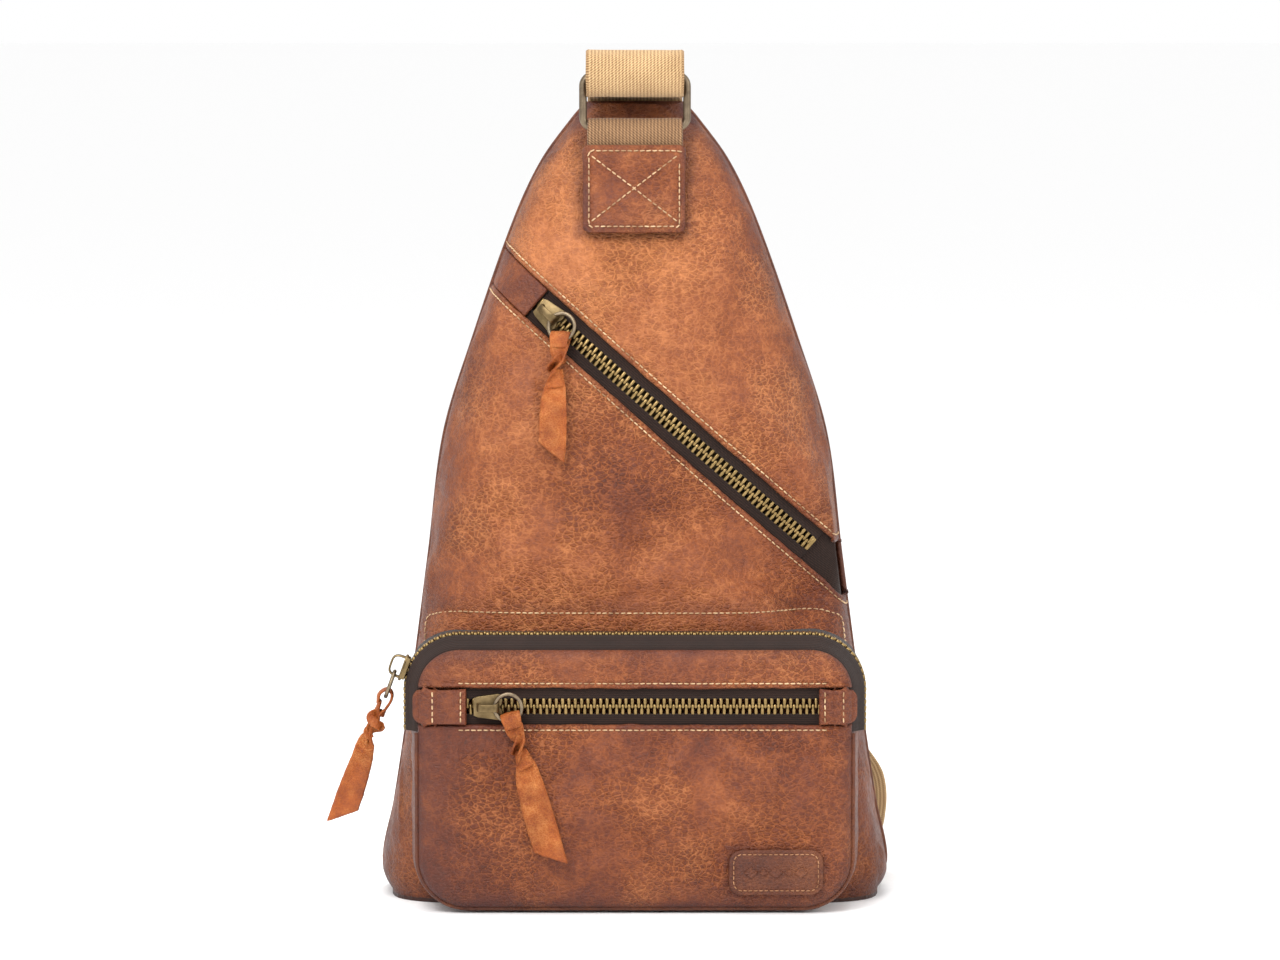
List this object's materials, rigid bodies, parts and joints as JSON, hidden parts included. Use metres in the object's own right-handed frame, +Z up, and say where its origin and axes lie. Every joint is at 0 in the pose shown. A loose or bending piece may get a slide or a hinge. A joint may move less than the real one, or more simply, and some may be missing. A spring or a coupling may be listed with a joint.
{
  "type": "sling bag",
  "caption": "Leather sling bag with a diagonal zip, a zipped front pocket, a ring-mounted webbing strap and leather zip pulls",
  "frame": {"origin": "centre of the underside of the bag's base, midway across its width and its main body's depth", "axes": "+Z up to the strap ring, -Y out of the front with the zips and the pocket, +X to the right as seen from the front"},
  "size_m": [0.2724, 0.2972, 0.4152],
  "materials": {
    "leather_shell": "pull-up leather, pebbled, waxed",
    "leather_dark": "darker burnished leather",
    "leather_pull": "raw-edged thong leather",
    "webbing": "cotton twill webbing",
    "anchor_web": "brown cotton webbing",
    "zip_tape": "dark woven zip tape",
    "lining": "cotton lining",
    "teeth": "antique brass teeth",
    "slider": "antique brass casting",
    "ring": "antique brass wire",
    "foam": "closed-cell foam",
    "board": "fibre board"
  },
  "bodies": {
    "root": {"anchor_patch": "leather_shell", "anchor_webbing": "anchor_web", "back_pad": "foam", "back_panel": "leather_dark", "base_board": "board", "base_panel": "leather_dark", "front_lower_panel": "leather_shell", "front_upper_panel": "leather_shell", "gusset_zip_tape_back": "zip_tape", "gusset_zip_tape_front": "zip_tape", "gusset_zip_teeth_back": "teeth", "gusset_zip_teeth_front": "teeth", "label_patch": "leather_dark", "lower_ring_tab": "leather_dark", "main_lining_back": "lining", "main_lining_lower": "lining", "main_lining_upper": "lining", "main_zip_tape_lower": "zip_tape", "main_zip_tape_upper": "zip_tape", "main_zip_teeth_lower": "teeth", "main_zip_teeth_upper": "teeth", "pocket_gusset": "leather_shell", "pocket_lining": "lining", "pocket_lower_panel": "leather_shell", "pocket_tab_left": "leather_dark", "pocket_tab_right": "leather_dark", "pocket_upper_panel": "leather_shell", "pocket_zip_tape_lower": "zip_tape", "pocket_zip_tape_upper": "zip_tape", "pocket_zip_teeth_lower": "teeth", "pocket_zip_teeth_upper": "teeth", "slip_pocket_sheet": "lining", "strap_lower_run": "webbing", "strap_return_layer": "webbing", "strap_upper_run": "webbing", "zip_left_strip": "leather_shell"},
    "top_ring": {"top_ring": "ring", "strap_top_loop": "webbing"},
    "lower_ring": {"lower_ring": "ring"},
    "adjuster": {"strap_adjuster": "ring"},
    "main_zip_slider": {"main_slider": "slider", "main_slider_lower_plate": "slider"},
    "main_zip_ring": {"main_pull_ring": "ring"},
    "main_zip_pull": {"main_pull": "leather_pull"},
    "pocket_zip_slider": {"pocket_slider": "slider", "pocket_slider_lower_plate": "slider"},
    "pocket_zip_ring": {"pocket_pull_ring": "ring"},
    "pocket_zip_pull": {"pocket_pull": "leather_pull"},
    "gusset_zip_slider": {"gusset_slider": "slider", "gusset_slider_lower_plate": "slider"},
    "gusset_zip_ring": {"gusset_pull_ring": "ring"},
    "gusset_zip_pull": {"gusset_pull": "leather_pull"}
  },
  "joints": [
    {"name": "main_zip_travel", "type": "hinge", "parent": "root", "child": "main_zip_slider", "pos_m": [0.0241, 0.26631, 0.22873], "axis": [0.6602, 0, 0.7511], "range_deg": [0, 23.5]},
    {"name": "main_ring_flip", "type": "hinge", "parent": "main_zip_slider", "child": "main_zip_ring", "pos_m": [-0.04036, -0.01282, 0.28539], "axis": [-0.6602, 0, -0.7511], "range_deg": [0, 23.5]},
    {"name": "main_pull_swing", "type": "hinge", "parent": "main_zip_ring", "child": "main_zip_pull", "pos_m": [-0.03627, -0.016, 0.27494], "axis": [-0.9698, 0.2409, 0.0388], "range_deg": [0, 70]},
    {"name": "pocket_zip_travel", "type": "slide", "parent": "root", "child": "pocket_zip_slider", "axis": [1, 0, 0], "range_m": [0, 0.143]},
    {"name": "pocket_ring_flip", "type": "hinge", "parent": "pocket_zip_slider", "child": "pocket_zip_ring", "pos_m": [-0.06747, -0.06605, 0.101], "axis": [0, 0, -1], "range_deg": [0, 85]},
    {"name": "pocket_pull_swing", "type": "hinge", "parent": "pocket_zip_ring", "child": "pocket_zip_pull", "pos_m": [-0.0591, -0.06605, 0.09477], "axis": [-0.9578, 0, -0.2873], "range_deg": [0, 55]},
    {"name": "gusset_zip_corner_travel", "type": "hinge", "parent": "root", "child": "gusset_zip_slider", "pos_m": [-0.0847, -0.0445, 0.108], "axis": [0, 1, 0], "range_deg": [0, 60]},
    {"name": "gusset_ring_flip", "type": "hinge", "parent": "gusset_zip_slider", "child": "gusset_zip_ring", "pos_m": [-0.1162, -0.0445, 0.11606], "axis": [0, 1, 0], "range_deg": [0, 100]},
    {"name": "gusset_pull_swing", "type": "hinge", "parent": "gusset_zip_ring", "child": "gusset_zip_pull", "pos_m": [-0.12064, -0.0445, 0.10384], "axis": [0, 1, 0], "range_deg": [0, 70]},
    {"name": "top_ring_tilt", "type": "hinge", "parent": "root", "child": "top_ring", "pos_m": [0, 0.00644, 0.377], "axis": [1, 0, 0], "range_deg": [0, 70], "deforming": ["strap_return_layer", "strap_upper_run"]},
    {"name": "lower_ring_swing", "type": "hinge", "parent": "root", "child": "lower_ring", "pos_m": [0.0852, 0.0424, 0.101], "axis": [1, 0, 0], "range_deg": [0, 60], "deforming": ["strap_lower_run"]},
    {"name": "adjuster_slide", "type": "slide", "parent": "root", "child": "adjuster", "axis": [0, 0, 1], "range_m": [-0.08, 0.08], "deforming": ["strap_return_layer"]}
  ],
  "couplings": [
    {"joint": "main_ring_flip", "follows": "main_zip_travel", "ratio": 1}
  ]
}
